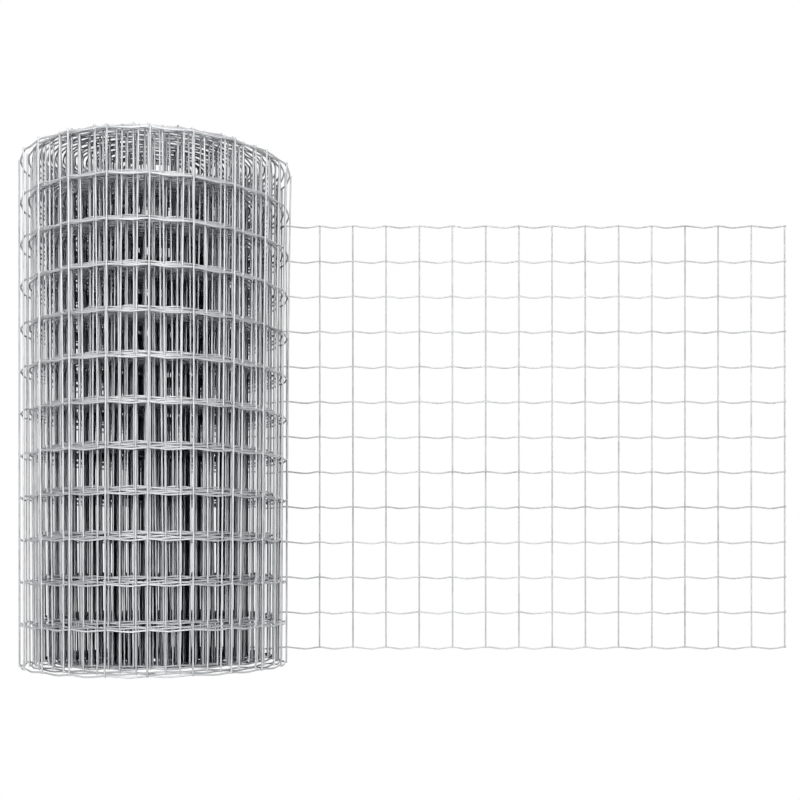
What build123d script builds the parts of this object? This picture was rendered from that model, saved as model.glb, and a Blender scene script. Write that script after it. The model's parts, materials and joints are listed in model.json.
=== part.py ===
"""Roll of galvanised welded wire fencing that stands on end, with its last wrap sprung open and run out straight.

Millimetres, +Z up. The origin is on the axis of the bore, at the floor. The free end runs towards +X, behind the roll.
"""

import math
import os

from build123d import *

# Welded mesh: crimped line wires run along the fence, and straight stay wires stand across it.
mesh_height = 600.0
row_count = 12
column_pitch = 47.4
wire_size = 2.2
weld_sink = 0.4
crimp_depth = 2.8
stay_overhang = 0.5
line_overhang = 0.4

# The low point of a crimp lies nearer to one stay, and the next crimp mirrors it.
crimp_low_share = 0.58

# Wound part: a tight pack of turns, which have slipped up or down in groups, inside a loose outermost turn.
bore_radius = 20.0
pack_thickness = 135.0
group_count = 6
group_slip = 4.0
loose_gap = 3.0
loose_gap_depth = 40.0

# Free end: the last wrap springs to a wider curve, then runs straight behind the roll.
spring_back = 73.0
straight_run = 781.0
seat_clearance = 0.3

# Sizes that follow from those above. The lowest line wire stands on the floor on its low points, clear of the stays.
row_pitch = mesh_height / row_count
mesh_thickness = 2 * wire_size - weld_sink
pack_radius = bore_radius + pack_thickness
wrap_radius = pack_radius + loose_gap
roll_radius = wrap_radius + mesh_thickness
sprung_radius = wrap_radius + spring_back
lowest_line_z = crimp_depth + wire_size / 2
stay_foot_z = lowest_line_z - wire_size / 2 - stay_overhang
fence_height = lowest_line_z + mesh_height + wire_size / 2 + stay_overhang
free_end_x = spring_back + straight_run
straight_cells = math.floor(straight_run / column_pitch)


def turned_profile():
    """Half section of the wound part: a step for each group of turns on both ends, then the loose outermost turn."""
    group_width = pack_thickness / group_count
    lower = []
    upper = []
    for group in range(group_count):
        inner = bore_radius + group * group_width
        slip = group_slip if group % 2 else 0
        lower += [(inner, slip), (inner + group_width, slip)]
        upper += [(inner, fence_height + slip), (inner + group_width, fence_height + slip)]
    for ends, rim, floor in (lower, 0, loose_gap_depth), (upper, fence_height, fence_height - loose_gap_depth):
        ends += [(pack_radius, floor), (wrap_radius, floor), (wrap_radius, rim), (roll_radius, rim)]
    return lower + upper[::-1]


def wound_roll():
    """The wound turns as one turned solid, open along its bore."""
    outline = Plane.XZ * Polyline(*turned_profile(), close=True)
    return revolve(make_face(outline), Axis.Z)


def place_on_fence(distance):
    """Point on the inner side of the line wires at a distance from the last stay, and the way out from the roll."""
    if distance <= straight_run:
        return Vector(free_end_x - distance, sprung_radius), Vector(0, 1)
    angle = (distance - straight_run) / sprung_radius
    outward = Vector(-math.sin(angle), math.cos(angle))
    return Vector(spring_back, 0) + outward * sprung_radius, outward


def distance_at_roll():
    """Distance from the last stay at which the line wires come down on to the wound turns."""
    seat_radius = roll_radius + seat_clearance
    cosine = (spring_back**2 + sprung_radius**2 - seat_radius**2) / (2 * spring_back * sprung_radius)
    return straight_run + sprung_radius * (math.pi / 2 - math.acos(cosine))


def low_share(cell):
    """Where in a cell its line wires hang lowest, as a share of the cell."""
    return crimp_low_share if cell % 2 else 1 - crimp_low_share


def crimp_drop(distance):
    """How far a line wire hangs below its welds at a distance from the last stay."""
    cell = math.floor(distance / column_pitch)
    share = distance / column_pitch - cell
    drop_share = min(share / low_share(cell), (1 - share) / (1 - low_share(cell)))
    return crimp_depth * drop_share


def crimp_stations(start, end):
    """Distances at which a line wire bends: its two ends, and each weld and low point between them."""
    bends = []
    for cell in range(math.floor(start / column_pitch), math.ceil(end / column_pitch)):
        bends += [cell * column_pitch, (cell + low_share(cell)) * column_pitch]
    return [start] + [bend for bend in bends if start < bend < end] + [end]


def wire_section(distance, z):
    """Square section of a line wire at a distance from the last stay, cut across the fence."""
    point, outward = place_on_fence(distance)
    centre = point + outward * (wire_size / 2)
    across = Plane(
        origin=(centre.X, centre.Y, z),
        x_dir=(outward.X, outward.Y, 0),
        z_dir=(outward.Y, -outward.X, 0),
    )
    return across * Rectangle(wire_size, wire_size)


def line_wire(start, end, z):
    """One crimped line wire along the fence, from one distance to another."""
    sections = [wire_section(distance, z - crimp_drop(distance)) for distance in crimp_stations(start, end)]
    return loft(sections, ruled=True)


def stay_wire(distance):
    """One straight stay wire, sunk into the outer side of the line wires where they are welded."""
    point, outward = place_on_fence(distance)
    centre = point + outward * (mesh_thickness - wire_size / 2)
    foot = Plane(origin=(centre.X, centre.Y, stay_foot_z), x_dir=(outward.X, outward.Y, 0), z_dir=(0, 0, 1))
    return extrude(foot * Rectangle(wire_size, wire_size), fence_height - stay_foot_z)


def fence_length(start, end, stay_distances):
    """A length of mesh as one solid: its line wires, fused to the stays that stand on them."""
    line_wires = [line_wire(start, end, lowest_line_z + row * row_pitch) for row in range(row_count + 1)]
    stays = [stay_wire(distance) for distance in stay_distances]
    return line_wires[0].fuse(*line_wires[1:], *stays)


def unrolled_end():
    """The straight run of mesh, from its last stay back to the stay where the sprung wrap takes over."""
    stays = [cell * column_pitch for cell in range(straight_cells + 1)]
    return fence_length(-wire_size / 2 - line_overhang, stays[-1] + wire_size / 2, stays)


def sprung_wrap():
    """The curved run of mesh that joins the straight run to the wound turns."""
    start = straight_cells * column_pitch + wire_size / 2
    end = distance_at_roll()
    last_cell = math.floor((end - wire_size) / column_pitch)
    stays = [cell * column_pitch for cell in range(straight_cells + 1, last_cell + 1)]
    return fence_length(start, end, stays)


os.makedirs("parts", exist_ok=True)
export_step(wound_roll(), "parts/wound_roll.step")
export_step(sprung_wrap(), "parts/sprung_wrap.step")
export_step(unrolled_end(), "parts/unrolled_end.step")
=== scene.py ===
"""Studio scene of an upright roll of galvanised welded wire fencing.

The roll's last wrap has sprung open and runs out straight beside it. Metres, +Z up, in the frame
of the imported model: the origin is on the axis of the bore, at the floor.
"""

from __future__ import annotations

import json
import logging
import math
import random
from dataclasses import dataclass, field
from enum import Enum
from typing import Any

import bpy
import numpy as np
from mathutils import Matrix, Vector


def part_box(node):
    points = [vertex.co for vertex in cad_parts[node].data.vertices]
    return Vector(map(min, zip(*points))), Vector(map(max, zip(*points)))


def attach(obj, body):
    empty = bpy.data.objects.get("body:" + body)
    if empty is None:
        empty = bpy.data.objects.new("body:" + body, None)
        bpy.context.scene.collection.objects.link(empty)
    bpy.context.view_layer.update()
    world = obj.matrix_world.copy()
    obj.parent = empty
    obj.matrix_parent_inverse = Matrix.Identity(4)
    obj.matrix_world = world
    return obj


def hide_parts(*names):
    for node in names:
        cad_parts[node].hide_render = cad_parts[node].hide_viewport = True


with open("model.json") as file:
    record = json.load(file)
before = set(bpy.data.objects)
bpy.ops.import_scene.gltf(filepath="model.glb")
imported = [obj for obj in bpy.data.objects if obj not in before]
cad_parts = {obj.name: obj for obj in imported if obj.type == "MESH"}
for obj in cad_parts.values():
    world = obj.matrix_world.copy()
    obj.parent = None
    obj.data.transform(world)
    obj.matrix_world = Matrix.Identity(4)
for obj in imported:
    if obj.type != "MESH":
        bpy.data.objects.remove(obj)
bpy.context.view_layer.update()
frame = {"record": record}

LOG = logging.getLogger("wire_fencing")
BODY = "root"
MM_PER_METRE = 1000
UP = (0.0, 0.0, 1.0)
WHITE = (1.0, 1.0, 1.0, 1.0)

# The weave's seed, and the step from the seed of one stretch to the next one's.
WEAVE_SEED = 53
SEED_STEP = 20

# More than the rows, so that a cell's number times this, plus its row, is its own for each crimp.
CELL_STRIDE = 17.0

# Keeps a point that is on a stay from falling into the cell before it.
CELL_TOLERANCE = 1e-6

# Edges that turn by more than this, in radians, stay sharp.
CUT_ANGLE = 1.3

# How much of a crimp is a plain zigzag. The rest is a smooth wave.
CRIMP_SHARPNESS = 0.45

# How late the flare sets in towards the upper edge.
FLARE_POWER = 4.0

# The least share of their full rise by which the stays' tips stand proud, and the welds' sizes.
LEAST_TIP = 0.3
WELD_SCATTER = (0.85, 1.15)

# Places of sockets that share their names with others on the same node.
RANDOM_LEAST, RANDOM_MOST, RANDOM_NUMBER = 2, 3, 1
MIX_FIRST, MIX_LAST, MIX_COLOUR = 6, 7, 2


class Stretch(Enum):
    """The stretches of the one length of mesh, from its free end inwards."""

    UNROLLED_END = "unrolled_end"
    SPRUNG_WRAP = "sprung_wrap"
    OUTERMOST_TURN = "outermost_turn"
    OUTER_PACK = "outer_pack"
    INNER_PACK = "inner_pack"

    @property
    def node(self) -> str:
        """The CAD node that this stretch stands for."""
        return self.value if self in (Stretch.UNROLLED_END, Stretch.SPRUNG_WRAP) else "wound_roll"


class Signal:
    """One output of a node, so that a Python expression on it adds Math nodes to its tree."""

    def __init__(self, builder: TreeBuilder, socket: bpy.types.NodeSocket) -> None:
        """Wrap an output socket of the builder's tree."""
        self.builder = builder
        self.socket = socket

    def also(self, output: str) -> Signal:
        """Another output of the same node, by name."""
        return Signal(self.builder, self.builder.pick(self.socket.node.outputs, output))

    def math(self, operation: str, first: Any, second: Any) -> Signal:
        """Add one Math node.

        Args:
            operation: The Math node's operation.
            first: A signal or number.
            second: A signal or number.

        Returns:
            The node's result.
        """
        return self.builder.add("ShaderNodeMath", {"operation": operation}, {0: first, 1: second})

    def __add__(self, other: Any) -> Signal:
        """This signal plus another."""
        return self.math("ADD", self, other)

    def __radd__(self, other: Any) -> Signal:
        """Another value plus this signal."""
        return self.math("ADD", other, self)

    def __sub__(self, other: Any) -> Signal:
        """This signal less another."""
        return self.math("SUBTRACT", self, other)

    def __rsub__(self, other: Any) -> Signal:
        """Another value less this signal."""
        return self.math("SUBTRACT", other, self)

    def __mul__(self, other: Any) -> Signal:
        """This signal times another."""
        return self.math("MULTIPLY", self, other)

    def __rmul__(self, other: Any) -> Signal:
        """Another value times this signal."""
        return self.math("MULTIPLY", other, self)

    def __truediv__(self, other: Any) -> Signal:
        """This signal over another."""
        return self.math("DIVIDE", self, other)

    def __mod__(self, other: Any) -> Signal:
        """What is left of this signal after whole parts of another."""
        return self.math("FLOORED_MODULO", self, other)

    def __pow__(self, other: Any) -> Signal:
        """This signal to a power."""
        return self.math("POWER", self, other)


class TreeBuilder:
    """Adds nodes to one node tree, of a material or of a Geometry Nodes modifier."""

    def __init__(self, tree: bpy.types.NodeTree) -> None:
        """Start with an empty tree."""
        self.tree = tree
        tree.nodes.clear()

    @staticmethod
    def pick(sockets: Any, key: int | str) -> bpy.types.NodeSocket:
        """Find a socket.

        Args:
            sockets: A node's inputs or outputs.
            key: The socket's place, or its name.

        Returns:
            The socket at that place, or the first one in use with that name.
        """
        if isinstance(key, int):
            return sockets[key]
        return next(socket for socket in sockets if socket.name == key and socket.enabled)

    def add(
        self,
        kind: str,
        settings: dict[str, Any] | None = None,
        sockets: dict[int | str, Any] | None = None,
        output: int | str = 0,
    ) -> Signal:
        """Add a node.

        Args:
            kind: The node's type.
            settings: Its own properties, which are set first.
            sockets: A signal, a list of signals or a plain value for each input that is set.
            output: Which output is wanted.

        Returns:
            The wanted output.
        """
        node = self.tree.nodes.new(kind)
        for name, value in (settings or {}).items():
            setattr(node, name, value)
        for key, value in (sockets or {}).items():
            socket = self.pick(node.inputs, key)
            for part in value if isinstance(value, list) else [value]:
                if isinstance(part, Signal):
                    self.tree.links.new(part.socket, socket)
                else:
                    socket.default_value = part
        return Signal(self, self.pick(node.outputs, output) if len(node.outputs) else None)

    def scaled(self, vector: Any, factor: Any) -> Signal:
        """A vector times a number."""
        sockets = {"Vector": vector, "Scale": factor}
        return self.add("ShaderNodeVectorMath", {"operation": "SCALE"}, sockets)

    def summed(self, first: Any, second: Any) -> Signal:
        """The sum of two vectors."""
        return self.add("ShaderNodeVectorMath", {"operation": "ADD"}, {0: first, 1: second})

    def upright(self, height: Any) -> Signal:
        """A vector that points straight up by a height."""
        return self.add("ShaderNodeCombineXYZ", {}, {"Z": height})

    def between(self, value: Any, low: float, high: float) -> Signal:
        """Ease a signal from 0 to 1.

        Args:
            value: The signal.
            low: Where the rise starts.
            high: Where it ends.

        Returns:
            The eased signal.
        """
        return self.add(
            "ShaderNodeMapRange",
            {"interpolation_type": "SMOOTHSTEP"},
            {"Value": value, "From Min": low, "From Max": high},
        )


class WireTree(TreeBuilder):
    """A Geometry Nodes tree with named inputs, which makes wires from a course of points."""

    def __init__(self, name: str, inputs: dict[str, str]) -> None:
        """Make the group with its named inputs.

        Args:
            name: The group's name.
            inputs: The socket type of each input.
        """
        super().__init__(bpy.data.node_groups.new(name, "GeometryNodeTree"))
        face = self.tree.interface
        face.new_socket("Geometry", in_out="OUTPUT", socket_type="NodeSocketGeometry")
        for title, kind in {"Geometry": "NodeSocketGeometry", **inputs}.items():
            face.new_socket(title, in_out="INPUT", socket_type=kind)
        self.inputs = self.add("NodeGroupInput")

    def size(self, title: str) -> Signal:
        """One of the tree's named inputs."""
        return self.inputs.also(title)

    def stored(self, name: str, kind: str = "FLOAT") -> Signal:
        """A named attribute of the course's points."""
        settings = {"data_type": kind}
        return self.add("GeometryNodeInputNamedAttribute", settings, {"Name": name}, "Attribute")

    def store(self, geometry: Signal, name: str, value: Signal) -> Signal:
        """Keep a number on each point under a name."""
        sockets = {"Geometry": geometry, "Name": name, "Value": value}
        return self.add("GeometryNodeStoreNamedAttribute", {"domain": "POINT"}, sockets)

    def chance(self, low: float, high: float, seed: Any, identity: Signal | None = None) -> Signal:
        """A random number for each point or wire.

        Args:
            low: The least value.
            high: The greatest value.
            seed: The fixed seed.
            identity: What tells the wires apart, or each point by itself.

        Returns:
            The random number.
        """
        sockets = {RANDOM_LEAST: low, RANDOM_MOST: high, "Seed": seed}
        if identity is not None:
            sockets["ID"] = identity
        return self.add("FunctionNodeRandomValue", {"data_type": "FLOAT"}, sockets, RANDOM_NUMBER)

    def drawn(self, curve: Signal) -> Signal:
        """Wires along curves, with closed ends and a crisp edge at each cut.

        Args:
            curve: The wires' centre lines.

        Returns:
            The wires as a mesh, with the tree's own radius and number of sides.
        """
        section = self.add(
            "GeometryNodeCurvePrimitiveCircle",
            {"mode": "RADIUS"},
            {"Resolution": self.size("Sides"), "Radius": self.size("Wire Radius")},
        )
        wires = self.add(
            "GeometryNodeCurveToMesh",
            {},
            {"Curve": curve, "Profile Curve": section, "Fill Caps": True},
        )
        turn = self.add("GeometryNodeInputMeshEdgeAngle", {}, {}, "Unsigned Angle")
        rounded = self.add(
            "FunctionNodeCompare",
            {"data_type": "FLOAT", "operation": "LESS_THAN"},
            {0: turn, 1: CUT_ANGLE},
        )
        return self.add(
            "GeometryNodeSetShadeSmooth",
            {"domain": "EDGE"},
            {"Geometry": wires, "Shade Smooth": rounded},
        )

    def spread(self, share: Signal) -> Signal:
        """How far the mesh stands off its course at a height: flared above, drawn in below."""
        return self.stored("flare") * share**FLARE_POWER - self.stored("taper") * (1.0 - share)

    def dressed(self, mesh: Signal, finish: str) -> Signal:
        """Give a mesh its finish.

        Args:
            mesh: The mesh, or instances of one.
            finish: The named input that holds the material.

        Returns:
            The mesh, with its instances realized.
        """
        whole = self.add("GeometryNodeRealizeInstances", {}, {"Geometry": mesh})
        sockets = {"Geometry": whole, "Material": self.size(finish)}
        return self.add("GeometryNodeSetMaterial", {}, sockets)

    def close(self, geometry: Signal) -> None:
        """Make a geometry the tree's result."""
        self.add("NodeGroupOutput", {}, {"Geometry": geometry})

    def grow(self, name: str, course: bpy.types.Mesh, values: dict[str, Any]) -> bpy.types.Object:
        """Run the tree on a course and keep the result as a plain mesh.

        Args:
            name: The piece's name.
            course: The mesh of points that the tree works on, which is used up.
            values: A value for each named input.

        Returns:
            The piece, at the origin, with no modifier.
        """
        piece = bpy.data.objects.new(name, course)
        bpy.context.scene.collection.objects.link(piece)
        modifier = piece.modifiers.new("wires", "NODES")
        modifier.node_group = self.tree
        for item in self.tree.interface.items_tree:
            if item.in_out == "INPUT" and item.name in values:
                modifier[item.identifier] = values[item.name]
        bpy.context.view_layer.update()
        evaluated = piece.evaluated_get(bpy.context.evaluated_depsgraph_get())
        made = bpy.data.meshes.new_from_object(evaluated)
        piece.modifiers.clear()
        piece.data = made
        made.name = name
        for place in reversed(range(len(made.materials))):
            if made.materials[place] is None:
                made.materials.pop(index=place)
        bpy.data.meshes.remove(course)
        return piece


@dataclass(frozen=True)
class MeshGauge:
    """Sizes of the welded mesh itself."""

    wire: float = 0.0022
    row_pitch: float = 0.050
    rows: int = 13
    column_pitch: float = 0.0474
    weld_sink: float = 0.0004
    crimp_depth: float = 0.0028
    crimp_low_share: float = 0.58
    stay_overhang: float = 0.0005
    line_overhang: float = 0.0004

    @property
    def thickness(self) -> float:
        """Through a line wire and the stay that is welded on it."""
        return 2 * self.wire - self.weld_sink

    @property
    def lowest_row(self) -> float:
        """Height of the lowest line wire's welds, so that its low points lie on the floor."""
        return self.crimp_depth + self.wire / 2

    @property
    def stay_foot(self) -> float:
        """Height of the stays' lower ends, just below the lowest welds."""
        return self.lowest_row - self.wire / 2 - self.stay_overhang

    @property
    def height(self) -> float:
        """Height of the stays' upper ends."""
        highest_row = self.lowest_row + (self.rows - 1) * self.row_pitch
        return highest_row + self.wire / 2 + self.stay_overhang

    @property
    def end_reach(self) -> float:
        """How far a line wire runs on past the middle of the last stay."""
        return self.wire / 2 + self.line_overhang


def eased(value: np.ndarray, low: float, high: float) -> np.ndarray:
    """Ease a value from 0 to 1.

    Args:
        value: The values.
        low: Where the rise starts.
        high: Where it ends.

    Returns:
        The eased values.
    """
    share = np.clip((value - low) / (high - low), 0.0, 1.0)
    return share * share * (3.0 - 2.0 * share)


@dataclass
class Course:
    """Plan of the mesh's inner side: straight from the free end, then round the sprung wrap and on.

    Places on the roll are given in turns from where the mesh comes on to it.
    """

    gauge: MeshGauge
    free_end_x: float
    sprung_radius: float
    wrap_radius: float
    bore_radius: float

    # Winding: a loose outermost turn that tucks in to a tight pack, which lies off the axis.
    loose_gap: float = 0.003
    turn_gap: float = 0.00444
    tuck_start: float = 0.55
    pack_shift: tuple[float, float] = (0.003, -0.001)
    shift_start: float = 0.6
    settle_turns: float = 0.2

    # Dents all round: their depth, and how many to a turn, the phase and the share of each wave.
    out_of_round: float = 0.0010
    dent_waves: tuple[tuple[int, float, float], ...] = ((2, 0.7, 1.0), (3, 2.1, 0.6))

    # How far turns have slipped up: the first ones by set amounts, then by chance, less inwards.
    first_lifts: tuple[float, ...] = (-0.0007, 0.0014, 0.0030, 0.0062, 0.0082)
    lift_range: tuple[float, float] = (0.0068, 0.0079)
    lift_fall: float = 0.6
    lift_ease: float = 0.4

    # The upper edge stands off at one side, and the lower edge is drawn in all round.
    flare: float = 0.004
    flare_turn: float = 0.47
    flare_width: float = 0.07
    flare_share: float = 0.7
    taper_share: float = 0.019

    # Where the stays fall on each turn, in cells, as seen at the front of the roll.
    front_turn: float = 0.25
    front_slip: float = 0.21
    stay_spread: float = (3.0 - math.sqrt(5.0)) / 2.0
    stay_wander: float = 0.05

    lifts: list[float] = field(init=False)
    cell_marks: list[float] = field(init=False)
    turn_marks: list[float] = field(init=False)

    def __post_init__(self) -> None:
        """Wind the roll: how many cells have gone by at the front of each turn.

        The stays of one turn don't stand right behind those of the next: each turn is drawn
        tighter or looser by half a cell at most, so that its stays part the gaps that the turns
        before it have left.
        """
        chance = random.Random(WEAVE_SEED)
        self.lifts = list(self.first_lifts)
        for turn in range(len(self.lifts), math.ceil(self.turns) + 1):
            share = 1.0 - self.lift_fall * turn / self.turns
            self.lifts.append(chance.uniform(*self.lift_range) * share)
        pitch = self.gauge.column_pitch
        self.cell_marks = [self.wound_start / pitch]
        self.turn_marks = [0.0]
        to_front = self.front_turn * 2 * math.pi * self.wrap_radius / pitch
        cells = self.cell_marks[0] + to_front + self.front_slip
        phase = cells
        turn = self.front_turn
        while turn < self.turns:
            self.cell_marks.append(cells)
            self.turn_marks.append(turn)
            phase += self.stay_spread + chance.uniform(-self.stay_wander, self.stay_wander)
            natural = cells + 2 * math.pi * float(self.radius(np.array([turn + 0.5]))[0]) / pitch
            cells = natural + (phase - natural + 0.5) % 1.0 - 0.5
            turn += 1.0
        self.cell_marks.append(cells)
        self.turn_marks.append(turn)

    @property
    def spring_back(self) -> float:
        """How much wider the sprung wrap is than the roll's outermost turn."""
        return self.sprung_radius - self.wrap_radius

    @property
    def straight_run(self) -> float:
        """Length of the straight run."""
        return self.free_end_x - self.spring_back

    @property
    def wound_start(self) -> float:
        """Distance from the last stay at which the mesh comes on to the roll."""
        return self.straight_run + self.sprung_radius * math.pi / 2

    @property
    def pack_radius(self) -> float:
        """Inner side of the outermost turn of the tight pack."""
        return self.wrap_radius - self.loose_gap - self.gauge.thickness

    @property
    def turns(self) -> float:
        """Number of turns from the sprung wrap to the bore."""
        return 1.0 + (self.pack_radius - self.bore_radius) / self.turn_gap

    def cell_at(self, turns: float) -> int:
        """The stay nearest to a number of turns, counted from the free end."""
        return round(float(np.interp(turns, self.turn_marks, self.cell_marks)))

    def radius(self, turned: np.ndarray) -> np.ndarray:
        """Find the radius of the mesh's inner side, without its dents.

        Args:
            turned: Turns round the roll.

        Returns:
            The radius at each of them.
        """
        tuck = eased(turned, self.tuck_start, 1.0)
        loose = self.wrap_radius + (self.pack_radius - self.wrap_radius) * tuck
        return np.where(turned < 1.0, loose, self.pack_radius - self.turn_gap * (turned - 1.0))

    def turns_at(self, distance: np.ndarray) -> np.ndarray:
        """Turns round the roll at a distance from the last stay, and 0 before it."""
        return np.interp(distance / self.gauge.column_pitch, self.cell_marks, self.turn_marks)

    def lift(self, distance: np.ndarray) -> np.ndarray:
        """Find how far the turns have slipped up.

        Args:
            distance: Distances from the last stay.

        Returns:
            The lift at each distance.
        """
        turned = self.turns_at(distance)
        lift = self.lifts[0] * eased(turned, 0.0, self.settle_turns)
        for turn in range(1, len(self.lifts)):
            step = self.lifts[turn] - self.lifts[turn - 1]
            lift += step * eased(turned, turn - self.lift_ease, turn)
        return lift

    def flared(self, distance: np.ndarray) -> np.ndarray:
        """Find how far the upper edge stands off at one side, most on the outermost turn.

        Args:
            distance: Distances from the last stay.

        Returns:
            The flare at each distance.
        """
        past = self.turns_at(distance) - self.flare_turn
        whole = np.maximum(np.round(past), 0.0)
        aside = (past - whole) / self.flare_width
        return self.flare * self.flare_share**whole * np.exp(-(aside**2))

    def tapered(self, distance: np.ndarray) -> np.ndarray:
        """How far the lower edge is drawn in, as the turns sit tighter towards the floor."""
        turned = self.turns_at(distance)
        return self.taper_share * self.radius(turned) * eased(turned, 0.0, self.settle_turns)

    def plan(self, distance: np.ndarray) -> tuple[np.ndarray, np.ndarray]:
        """Points on the mesh's inner side and the way out from the roll there.

        Args:
            distance: Distances from the last stay.

        Returns:
            The points and the outward directions, each one row per distance.
        """
        sprung = (distance - self.straight_run) / self.sprung_radius
        turned = self.turns_at(distance)
        angle = math.pi / 2 + np.clip(sprung, 0.0, math.pi / 2) + 2 * math.pi * turned
        outward = np.stack([np.cos(angle), np.sin(angle)], axis=1)
        dent = sum(size * np.sin(waves * angle + phase) for waves, phase, size in self.dent_waves)
        settled = eased(turned, 0.0, self.settle_turns)
        radius = self.radius(turned) + self.out_of_round * dent * settled
        shift = np.array(self.pack_shift) * eased(turned, self.shift_start, 1.0)[:, None]
        wound = outward * radius[:, None] + shift
        curved = np.array([self.spring_back, 0.0]) + outward * self.sprung_radius
        along = self.free_end_x - distance
        straight = np.stack([along, np.full_like(distance, self.sprung_radius)], axis=1)
        points = np.where((distance < self.wound_start)[:, None], curved, wound)
        return np.where((distance < self.straight_run)[:, None], straight, points), outward

    def mesh(
        self, name: str, distance: np.ndarray, chord_share: float, joined: bool
    ) -> bpy.types.Mesh:
        """Lay points along the course, with what the wire trees read from them.

        Args:
            name: The mesh's name.
            distance: Distances from the last stay.
            chord_share: How far a wire between two stays keeps straight, from 0 to 1.
            joined: Whether edges join the points in order.

        Returns:
            A mesh of the points at the floor.
        """
        pitch = self.gauge.column_pitch
        arc, outward = self.plan(distance)
        stay = np.floor(distance / pitch + CELL_TOLERANCE) * pitch
        before, _ = self.plan(stay)
        after, _ = self.plan(stay + pitch)
        chord = before + (after - before) * ((distance - stay) / pitch)[:, None]
        points = arc + (chord - arc) * chord_share
        count = len(distance)
        flat = np.zeros((count, 1))
        edges = [(first, first + 1) for first in range(count - 1)] if joined else []
        mesh = bpy.data.meshes.new(name)
        mesh.from_pydata(np.hstack([points, flat]).tolist(), edges, [])
        ways = mesh.attributes.new("outward", "FLOAT_VECTOR", "POINT")
        ways.data.foreach_set("vector", np.hstack([outward, flat]).ravel())
        for title, values in (
            ("distance", distance),
            ("lift", self.lift(distance)),
            ("flare", self.flared(distance)),
            ("taper", self.tapered(distance)),
        ):
            mesh.attributes.new(title, "FLOAT", "POINT").data.foreach_set("value", values)
        return mesh


@dataclass(frozen=True)
class ZincFinish:
    """Hot-dip zinc on drawn wire: spangle, dull bloom, a tone for each wire and a fine grain."""

    name: str
    bright: tuple[float, float, float, float] = (0.56, 0.57, 0.58, 1.0)
    dull: tuple[float, float, float, float] = (0.36, 0.365, 0.375, 1.0)
    metal: float = 0.5
    roughness: float = 0.48

    # How much of the bright colour shows, and what each effect adds to it or takes away.
    base_shine: float = 0.25
    spangle_shine: float = 0.3
    tone_shine: float = 0.55
    bloom_dulling: float = 0.5

    # What bloom and spangle add to the roughness.
    bloom_roughness: float = 0.12
    spangle_roughness: float = 0.08

    # The patterns themselves.
    spangle_scale: float = 210.0
    bloom_scale: float = 26.0
    bloom_detail: float = 3.0
    bloom_edge: tuple[float, float] = (0.48, 0.72)
    grain_scale: float = 1400.0
    grain_detail: float = 2.0
    grain_height: float = 0.00006
    grain_strength: float = 0.6
    spangle_relief: float = 0.5

    def material(self) -> bpy.types.Material:
        """Build the finish.

        Returns:
            The material.
        """
        made = bpy.data.materials.new(self.name)
        made.use_nodes = True
        tree = TreeBuilder(made.node_tree)
        place = tree.add("ShaderNodeTexCoord", {}, {}, "Object")
        spots = {"Vector": place, "Scale": self.spangle_scale}
        cells = tree.add("ShaderNodeTexVoronoi", {}, spots, "Color")
        spangle = tree.add("ShaderNodeSeparateColor", {}, {"Color": cells})
        clouds = {"Vector": place, "Scale": self.bloom_scale, "Detail": self.bloom_detail}
        bloom = tree.between(tree.add("ShaderNodeTexNoise", {}, clouds), *self.bloom_edge)
        tone = tree.add("ShaderNodeAttribute", {"attribute_name": "wire_tone"}, {}, "Fac")
        shine = self.base_shine + self.spangle_shine * spangle + self.tone_shine * tone
        colour = tree.add(
            "ShaderNodeMix",
            {"data_type": "RGBA"},
            {0: shine - self.bloom_dulling * bloom, MIX_FIRST: self.dull, MIX_LAST: self.bright},
            MIX_COLOUR,
        )
        rough = self.roughness + self.bloom_roughness * bloom + self.spangle_roughness * spangle
        grains = {"Vector": place, "Scale": self.grain_scale, "Detail": self.grain_detail}
        height = tree.add("ShaderNodeTexNoise", {}, grains) + self.spangle_relief * spangle
        relief = tree.add(
            "ShaderNodeBump",
            {},
            {"Strength": self.grain_strength, "Distance": self.grain_height, "Height": height},
        )
        surface = tree.add(
            "ShaderNodeBsdfPrincipled",
            {},
            {"Base Color": colour, "Metallic": self.metal, "Roughness": rough, "Normal": relief},
        )
        tree.add("ShaderNodeOutputMaterial", {}, {"Surface": surface})
        return made


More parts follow.
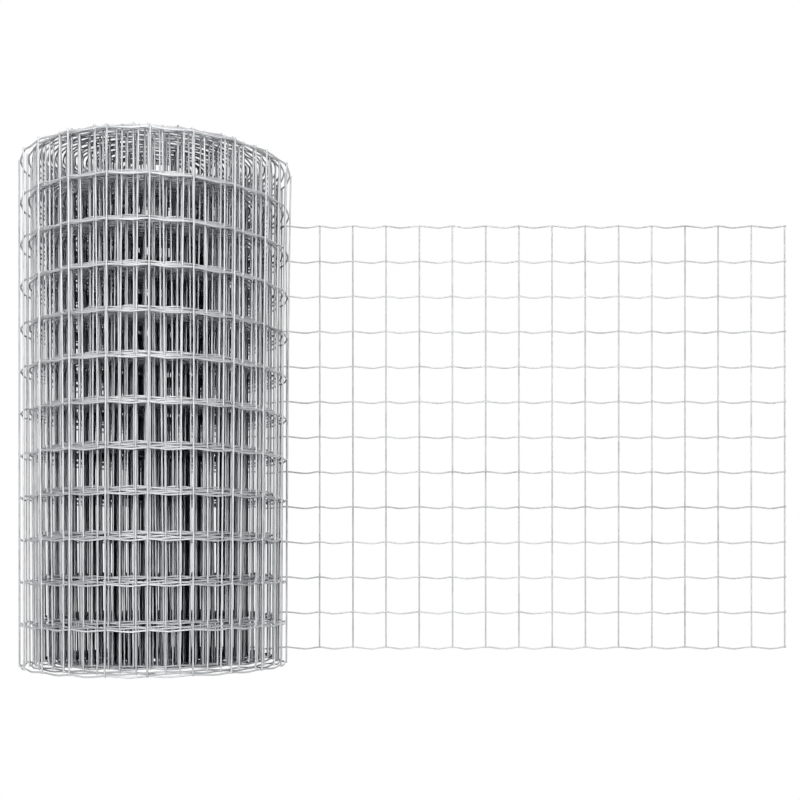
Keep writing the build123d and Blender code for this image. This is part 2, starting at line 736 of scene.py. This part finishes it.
class LineWireTree(WireTree):
    """Crimped line wires: the course once for each row, with a low point between two stays."""

    def __init__(self) -> None:
        """Build the tree."""
        super().__init__(
            "crimped_line_wires",
            {
                "Rows": "NodeSocketInt",
                "Row Pitch": "NodeSocketFloat",
                "Column Pitch": "NodeSocketFloat",
                "Lowest Row": "NodeSocketFloat",
                "Fence Height": "NodeSocketFloat",
                "Crimp Depth": "NodeSocketFloat",
                "Low Share": "NodeSocketFloat",
                "Wire Radius": "NodeSocketFloat",
                "Sides": "NodeSocketInt",
                "Unevenness": "NodeSocketFloat",
                "Seed": "NodeSocketInt",
                "Finish": "NodeSocketMaterial",
            },
        )
        course = self.add("GeometryNodeMeshToCurve", {}, {"Mesh": self.size("Geometry")})
        rows = self.add(
            "GeometryNodeDuplicateElements",
            {"domain": "SPLINE"},
            {"Geometry": course, "Amount": self.size("Rows")},
        )
        row = rows.also("Duplicate Index")
        cells = self.stored("distance") / self.size("Column Pitch")
        share = cells % 1.0
        odd = (cells - share) % 2.0
        low = self.size("Low Share")
        lowest = 1.0 - low + odd * (2.0 * low - 1.0)
        fall = cells.math("MINIMUM", share / lowest, (1.0 - share) / (1.0 - lowest))
        smooth = fall * fall * (3.0 - 2.0 * fall)
        wave = CRIMP_SHARPNESS * fall + (1.0 - CRIMP_SHARPNESS) * smooth
        uneven = self.chance(0.0, 1.0, self.size("Seed"), (cells - share) * CELL_STRIDE + row)
        drop = self.size("Crimp Depth") * wave * (1.0 - uneven * self.size("Unevenness"))
        height = self.size("Lowest Row") + row * self.size("Row Pitch")
        stand_off = self.size("Wire Radius") + self.spread(height / self.size("Fence Height"))
        outward = self.scaled(self.stored("outward", "FLOAT_VECTOR"), stand_off)
        offset = self.summed(outward, self.upright(height + self.stored("lift") - drop))
        placed = self.add("GeometryNodeSetPosition", {}, {"Geometry": rows, "Offset": offset})
        toned = self.store(placed, "wire_tone", self.chance(0.0, 1.0, self.size("Seed"), row))
        self.close(self.dressed(self.drawn(toned), "Finish"))


class StayTree(WireTree):
    """Straight stays on the outer side of the line wires, each with a weld at every row."""

    def __init__(self) -> None:
        """Build the tree."""
        super().__init__(
            "stays_and_welds",
            {
                "Rows": "NodeSocketInt",
                "Row Pitch": "NodeSocketFloat",
                "Lowest Row": "NodeSocketFloat",
                "Fence Height": "NodeSocketFloat",
                "Foot Height": "NodeSocketFloat",
                "Stand Off": "NodeSocketFloat",
                "Weld Stand Off": "NodeSocketFloat",
                "Wire Radius": "NodeSocketFloat",
                "Sides": "NodeSocketInt",
                "Segments": "NodeSocketInt",
                "Lean": "NodeSocketFloat",
                "Bow": "NodeSocketFloat",
                "Proud": "NodeSocketFloat",
                "Weld Size": "NodeSocketVector",
                "Weld Sides": "NodeSocketInt",
                "Weld Rings": "NodeSocketInt",
                "Seed": "NodeSocketInt",
                "Finish": "NodeSocketMaterial",
                "Weld Finish": "NodeSocketMaterial",
            },
        )
        course = self.size("Geometry")
        feet = self.add("GeometryNodeMeshToPoints", {"mode": "VERTICES"}, {"Mesh": course})
        least_traits = {"lean": -1.0, "bow": -1.0, "tip": LEAST_TIP, "wire_tone": 0.0}
        for step, (title, least) in enumerate(least_traits.items(), start=1):
            feet = self.store(feet, title, self.chance(least, 1.0, self.size("Seed") + step))
        parts = [self.stays(feet), self.welds(feet)]
        self.close(self.add("GeometryNodeJoinGeometry", {}, {0: parts}))

    def sway(self, share: Signal, stand_off: Signal, height: Signal) -> Signal:
        """How far a point at a share of a stay's height is moved from the stay's foot.

        Args:
            share: Share of the fence's height.
            stand_off: Distance out from the mesh's inner side.
            height: How far it is moved up.

        Returns:
            The offset.
        """
        out = self.stored("outward", "FLOAT_VECTOR")
        along = self.add("ShaderNodeVectorMath", {"operation": "CROSS_PRODUCT"}, {0: out, 1: UP})
        side = self.stored("lean") * self.size("Lean") * (2.0 * share - 1.0)
        side = side + self.stored("bow") * self.size("Bow") * (4.0 * share * (1.0 - share))
        outward = self.scaled(out, stand_off + self.spread(share))
        return self.summed(self.summed(outward, self.scaled(along, side)), self.upright(height))

    def stays(self, feet: Signal) -> Signal:
        """Stand a stay on each foot.

        Args:
            feet: The feet's points.

        Returns:
            The stays as a dressed mesh.
        """
        tall = self.size("Fence Height")
        ends = {"Start": self.upright(self.size("Foot Height")), "End": self.upright(tall)}
        line = self.add("GeometryNodeCurvePrimitiveLine", {"mode": "POINTS"}, ends)
        steps = {"Curve": line, "Count": self.size("Segments")}
        line = self.add("GeometryNodeResampleCurve", {}, steps)
        stood = self.add("GeometryNodeInstanceOnPoints", {}, {"Points": feet, "Instance": line})
        stood = self.add("GeometryNodeRealizeInstances", {}, {"Geometry": stood})
        place = self.add("GeometryNodeInputPosition")
        share = self.add("ShaderNodeSeparateXYZ", {}, {"Vector": place}, "Z") / tall
        rise = self.stored("lift") + self.stored("tip") * self.size("Proud") * share
        placed = self.add(
            "GeometryNodeSetPosition",
            {},
            {"Geometry": stood, "Offset": self.sway(share, self.size("Stand Off"), rise)},
        )
        return self.dressed(self.drawn(placed), "Finish")

    def welds(self, feet: Signal) -> Signal:
        """Put a weld on each foot's stay at every row.

        Args:
            feet: The feet's points.

        Returns:
            The welds as a dressed mesh.
        """
        spots = self.add(
            "GeometryNodeDuplicateElements",
            {"domain": "POINT"},
            {"Geometry": feet, "Amount": self.size("Rows")},
        )
        height = self.size("Lowest Row") + spots.also("Duplicate Index") * self.size("Row Pitch")
        share = height / self.size("Fence Height")
        offset = self.sway(share, self.size("Weld Stand Off"), height + self.stored("lift"))
        placed = self.add("GeometryNodeSetPosition", {}, {"Geometry": spots, "Offset": offset})
        nugget = self.add(
            "GeometryNodeMeshUVSphere",
            {},
            {"Segments": self.size("Weld Sides"), "Rings": self.size("Weld Rings"), "Radius": 1.0},
        )
        nugget = self.add("GeometryNodeSetShadeSmooth", {}, {"Geometry": nugget})
        nugget = self.dressed(nugget, "Weld Finish")
        facing = self.add(
            "FunctionNodeAlignRotationToVector",
            {"axis": "X"},
            {"Vector": self.stored("outward", "FLOAT_VECTOR")},
        )
        size = self.scaled(self.size("Weld Size"), self.chance(*WELD_SCATTER, self.size("Seed")))
        stood = self.add(
            "GeometryNodeInstanceOnPoints",
            {},
            {"Points": placed, "Instance": nugget, "Rotation": facing, "Scale": size},
        )
        return self.add("GeometryNodeRealizeInstances", {}, {"Geometry": stood})


@dataclass(frozen=True)
class StretchLook:
    """How finely a stretch of mesh is made, and how far its wires stray from true."""

    points_per_cell: int
    sides: int
    weld_sides: int
    weld_rings: int
    chord_share: float
    lean: float
    bow: float
    proud: float
    crimp_share: float
    unevenness: float
    segments: int = 14


FINE = {"points_per_cell": 8, "sides": 8, "weld_sides": 8, "weld_rings": 4}
PLAIN = {"points_per_cell": 6, "sides": 6, "weld_sides": 6, "weld_rings": 3}
PLAINER = {**PLAIN, "sides": 5}

FLAT = {"lean": 0.0002, "bow": 0.0002, "proud": 0.0, "crimp_share": 1.0, "unevenness": 0.05}
SPRUNG = {"lean": 0.001, "bow": 0.0008, "proud": 0.0004, "crimp_share": 1.0, "unevenness": 0.1}
LOOSE = {"lean": 0.0025, "bow": 0.0015, "proud": 0.0003, "crimp_share": 0.75, "unevenness": 0.25}
PACKED = {"lean": 0.003, "bow": 0.002, "proud": 0.0003, "crimp_share": 0.75, "unevenness": 0.4}

LOOKS = {
    Stretch.UNROLLED_END: StretchLook(**FINE, **FLAT, chord_share=0.0),
    Stretch.SPRUNG_WRAP: StretchLook(**FINE, **SPRUNG, chord_share=0.5),
    Stretch.OUTERMOST_TURN: StretchLook(**FINE, **LOOSE, chord_share=0.2),
    Stretch.OUTER_PACK: StretchLook(**PLAIN, **PACKED, chord_share=0.15),
    Stretch.INNER_PACK: StretchLook(**PLAINER, **PACKED, chord_share=0.1),
}


@dataclass
class FenceStretch:
    """One stretch of the mesh, between two of its stays."""

    stretch: Stretch
    course: Course
    look: StretchLook
    first_cell: int
    last_cell: int
    at_free_end: bool
    at_bore: bool
    weld_size: tuple[float, float, float] = (0.0011, 0.0015, 0.0015)

    def line_distances(self) -> np.ndarray:
        """Find where along the course the line wires get a point.

        Returns:
            Distances from the last stay.
        """
        pitch = self.course.gauge.column_pitch
        count = (self.last_cell - self.first_cell) * self.look.points_per_cell + 1
        distances = np.linspace(self.first_cell, self.last_cell, count) * pitch
        reach = self.course.gauge.end_reach
        ends = [[distances[0] - reach]] if self.at_free_end else []
        ends += [distances]
        ends += [[distances[-1] + reach]] if self.at_bore else []
        return np.concatenate(ends)

    def stay_distances(self) -> np.ndarray:
        """Distances along the course at which the stays stand."""
        first = self.first_cell if self.at_free_end else self.first_cell + 1
        return np.arange(first, self.last_cell + 1) * self.course.gauge.column_pitch

    def shared_sizes(self) -> dict[str, Any]:
        """Collect the sizes that both wire trees take.

        Returns:
            A value for each of those named inputs.
        """
        gauge = self.course.gauge
        return {
            "Rows": gauge.rows,
            "Row Pitch": gauge.row_pitch,
            "Lowest Row": gauge.lowest_row,
            "Fence Height": gauge.height,
            "Wire Radius": gauge.wire / 2,
            "Sides": self.look.sides,
            "Seed": WEAVE_SEED + SEED_STEP * list(Stretch).index(self.stretch),
        }

    def build(
        self,
        lines: LineWireTree,
        stays: StayTree,
        zinc: bpy.types.Material,
        weld: bpy.types.Material,
    ) -> None:
        """Make the stretch's line wires, and its stays with their welds.

        Args:
            lines: The tree of the line wires.
            stays: The tree of the stays and welds.
            zinc: The wires' finish.
            weld: The welds' finish.
        """
        gauge = self.course.gauge
        look = self.look
        name = self.stretch.value
        along = self.line_distances()
        path = self.course.mesh(f"{name}_course", along, look.chord_share, joined=True)
        self.dress(
            lines.grow(
                f"{name}_line_wires",
                path,
                {
                    **self.shared_sizes(),
                    "Column Pitch": gauge.column_pitch,
                    "Crimp Depth": gauge.crimp_depth * look.crimp_share,
                    "Low Share": gauge.crimp_low_share,
                    "Unevenness": look.unevenness,
                    "Finish": zinc,
                },
            )
        )
        feet = self.course.mesh(f"{name}_feet", self.stay_distances(), 0.0, joined=False)
        self.dress(
            stays.grow(
                f"{name}_stays",
                feet,
                {
                    **self.shared_sizes(),
                    "Foot Height": gauge.stay_foot,
                    "Stand Off": gauge.thickness - gauge.wire / 2,
                    "Weld Stand Off": gauge.thickness / 2,
                    "Segments": look.segments,
                    "Lean": look.lean,
                    "Bow": look.bow,
                    "Proud": look.proud,
                    "Weld Size": self.weld_size,
                    "Weld Sides": look.weld_sides,
                    "Weld Rings": look.weld_rings,
                    "Finish": zinc,
                    "Weld Finish": weld,
                },
            )
        )

    def dress(self, piece: bpy.types.Object) -> None:
        """Fix a piece to the frame in place of its CAD node, and report it.

        Args:
            piece: The piece.
        """
        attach(piece, BODY)
        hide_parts(self.stretch.node)
        finishes = [finish.name for finish in piece.data.materials]
        LOG.info("%s: %d faces, %s", piece.name, len(piece.data.polygons), finishes)


@dataclass
class FenceRoll:
    """The whole length of mesh, cut into stretches that each keep to a modest number of faces.

    It stops a little short, so that the pack, which lies off the axis, keeps clear of the bore.
    """

    gauge: MeshGauge = MeshGauge()
    outer_pack_turns: float = 7.0
    short_turns: float = 1.0

    def course(self) -> Course:
        """Take the roll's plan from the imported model.

        Returns:
            The course of the mesh.
        """
        end_low, end_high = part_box("unrolled_end")
        _, roll_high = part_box("wound_roll")
        bore = next(mount for mount in frame["record"]["mounts"] if mount["name"] == "bore")
        return Course(
            gauge=self.gauge,
            free_end_x=end_high.x - self.gauge.end_reach,
            sprung_radius=end_low.y,
            wrap_radius=roll_high.x - self.gauge.thickness,
            bore_radius=bore["dims"]["r_mm"] / MM_PER_METRE,
        )

    def stretches(self) -> list[FenceStretch]:
        """Cut the course into stretches.

        Returns:
            The stretches, from the free end inwards.
        """
        course = self.course()
        cells = [
            0,
            math.floor(course.straight_run / self.gauge.column_pitch),
            course.cell_at(0.0) + 1,
            course.cell_at(1.0),
            course.cell_at(self.outer_pack_turns),
            course.cell_at(course.turns - self.short_turns),
        ]
        return [
            FenceStretch(
                stretch,
                course,
                LOOKS[stretch],
                cells[index],
                cells[index + 1],
                at_free_end=stretch is Stretch.UNROLLED_END,
                at_bore=stretch is Stretch.INNER_PACK,
            )
            for index, stretch in enumerate(Stretch)
        ]


@dataclass(frozen=True)
class Softbox:
    """One soft light: where it hangs, its size and its power in watts."""

    name: str
    place: tuple[float, float, float]
    width: float
    height: float
    power: float


@dataclass(frozen=True)
class Studio:
    """Pale floor, white surround, soft lights and the camera."""

    # Camera, which is level, with its frame moved up and aside.
    camera_place: tuple[float, float, float] = (0.2596, -1.4201, 0.1372)
    sensor: float = 36.0
    sight: float = 100.0
    lens: float = 52.15
    rise: float = 0.1918
    slide: float = 0.0398

    # Floor, and how strongly it shows white to the camera.
    floor_size: float = 30.0
    floor_tone: float = 0.86
    floor_roughness: float = 0.9
    floor_glow: float = 1.0

    # Picture: tones in the scene and the tones they are shown in.
    tone_curve: tuple[tuple[float, float], ...] = (
        (0.045, 0.002),
        (0.075, 0.0105),
        (0.16, 0.088),
        (0.28, 0.262),
        (0.5, 0.53),
        (0.68, 0.712),
        (0.82, 0.852),
    )

    # Surround: its light from everywhere, and what is added from behind the roll.
    surround: float = 0.03
    backdrop: float = 0.8
    backdrop_edge: tuple[float, float] = (0.0, 0.5)

    # Soft lights, and the place that they face.
    aim: tuple[float, float, float] = (0.1, 0.0, 0.3)
    softboxes: tuple[Softbox, ...] = (
        Softbox("left_softbox", (-2.0, -2.4, 0.7), 1.0, 1.4, 18.0),
        Softbox("right_softbox", (2.4, -2.4, 0.7), 1.0, 1.4, 10.0),
        Softbox("front_softbox", (0.3, -2.8, 1.0), 1.6, 1.4, 60.0),
        Softbox("top_softbox", (0.1, -1.8, 2.4), 1.4, 1.0, 38.0),
        Softbox("back_softbox", (0.3, 2.6, 1.2), 1.6, 1.4, 22.0),
    )

    def tones(self) -> None:
        """Set the picture's tone curve."""
        view = bpy.context.scene.view_settings
        view.view_transform = "Standard"
        view.look = "None"
        view.use_curve_mapping = True
        combined = view.curve_mapping.curves[-1]
        for light, shown in self.tone_curve:
            combined.points.new(light, shown)
        view.curve_mapping.update()

    def surroundings(self) -> None:
        """Make the surround: white to the camera, and lighter behind the roll for the wires."""
        world = bpy.data.worlds.new("white_surround")
        world.use_nodes = True
        tree = TreeBuilder(world.node_tree)
        seen = tree.add("ShaderNodeLightPath", {}, {}, "Is Camera Ray")
        way = tree.add("ShaderNodeTexCoord", {}, {}, "Generated")
        depth = tree.add("ShaderNodeSeparateXYZ", {}, {"Vector": way}, "Y")
        behind = tree.between(depth, *self.backdrop_edge)
        strength = seen.math("MAXIMUM", seen, self.surround + self.backdrop * behind)
        glow = tree.add("ShaderNodeBackground", {}, {"Color": WHITE, "Strength": strength})
        tree.add("ShaderNodeOutputWorld", {}, {"Surface": glow})
        bpy.context.scene.world = world

    def floor(self) -> None:
        """Lay the floor: evenly white to the camera, and a matt pale one to the light."""
        half = self.floor_size / 2
        corners = [(-half, -half, 0), (half, -half, 0), (half, half, 0), (-half, half, 0)]
        mesh = bpy.data.meshes.new("floor")
        mesh.from_pydata(corners, [], [(0, 1, 2, 3)])
        paint = bpy.data.materials.new("pale_floor")
        paint.use_nodes = True
        tree = TreeBuilder(paint.node_tree)
        tone = (self.floor_tone, self.floor_tone, self.floor_tone, 1.0)
        seen = tree.add("ShaderNodeLightPath", {}, {}, "Is Camera Ray")
        coat = {"Base Color": tone, "Roughness": self.floor_roughness}
        matt = tree.add("ShaderNodeBsdfPrincipled", {}, coat)
        glow = tree.add("ShaderNodeEmission", {}, {"Color": WHITE, "Strength": self.floor_glow})
        pale = tree.add("ShaderNodeMixShader", {}, {0: seen, 1: matt, 2: glow})
        tree.add("ShaderNodeOutputMaterial", {}, {"Surface": pale})
        mesh.materials.append(paint)
        floor = bpy.data.objects.new("floor", mesh)
        bpy.context.scene.collection.objects.link(floor)

    def light(self, box: Softbox) -> None:
        """Hang one softbox, out of the camera's sight, so that it faces the roll.

        Args:
            box: The softbox.
        """
        lamp = bpy.data.lights.new(box.name, "AREA")
        lamp.shape = "RECTANGLE"
        lamp.size, lamp.size_y = box.width, box.height
        lamp.energy = box.power
        hung = bpy.data.objects.new(box.name, lamp)
        hung.visible_camera = False
        hung.location = box.place
        facing = Vector(self.aim) - Vector(box.place)
        hung.rotation_euler = facing.to_track_quat("-Z", "Y").to_euler()
        bpy.context.scene.collection.objects.link(hung)

    def lights(self) -> None:
        """Hang the softboxes."""
        for box in self.softboxes:
            self.light(box)

    def camera(self) -> None:
        """Set up the camera level, with the frame raised above its axis."""
        lens = bpy.data.cameras.new("camera")
        lens.sensor_width = self.sensor
        lens.lens = self.lens
        lens.shift_x = self.slide
        lens.shift_y = self.rise
        lens.clip_end = self.sight
        stand = bpy.data.objects.new("camera", lens)
        stand.location = self.camera_place
        stand.rotation_euler = (math.pi / 2, 0.0, 0.0)
        bpy.context.scene.collection.objects.link(stand)
        bpy.context.scene.camera = stand


def main() -> None:
    """Build the studio and the roll."""
    logging.basicConfig(level=logging.INFO, format="%(name)s: %(message)s")
    studio = Studio()
    studio.camera()
    studio.tones()
    studio.surroundings()
    studio.floor()
    studio.lights()
    zinc = ZincFinish("galvanised_zinc").material()
    weld = ZincFinish("weld_zinc", dull=(0.36, 0.37, 0.38, 1.0), roughness=0.46).material()
    lines = LineWireTree()
    stays = StayTree()
    for stretch in FenceRoll().stretches():
        stretch.build(lines, stays, zinc, weld)


if __name__ == "__main__":
    main()
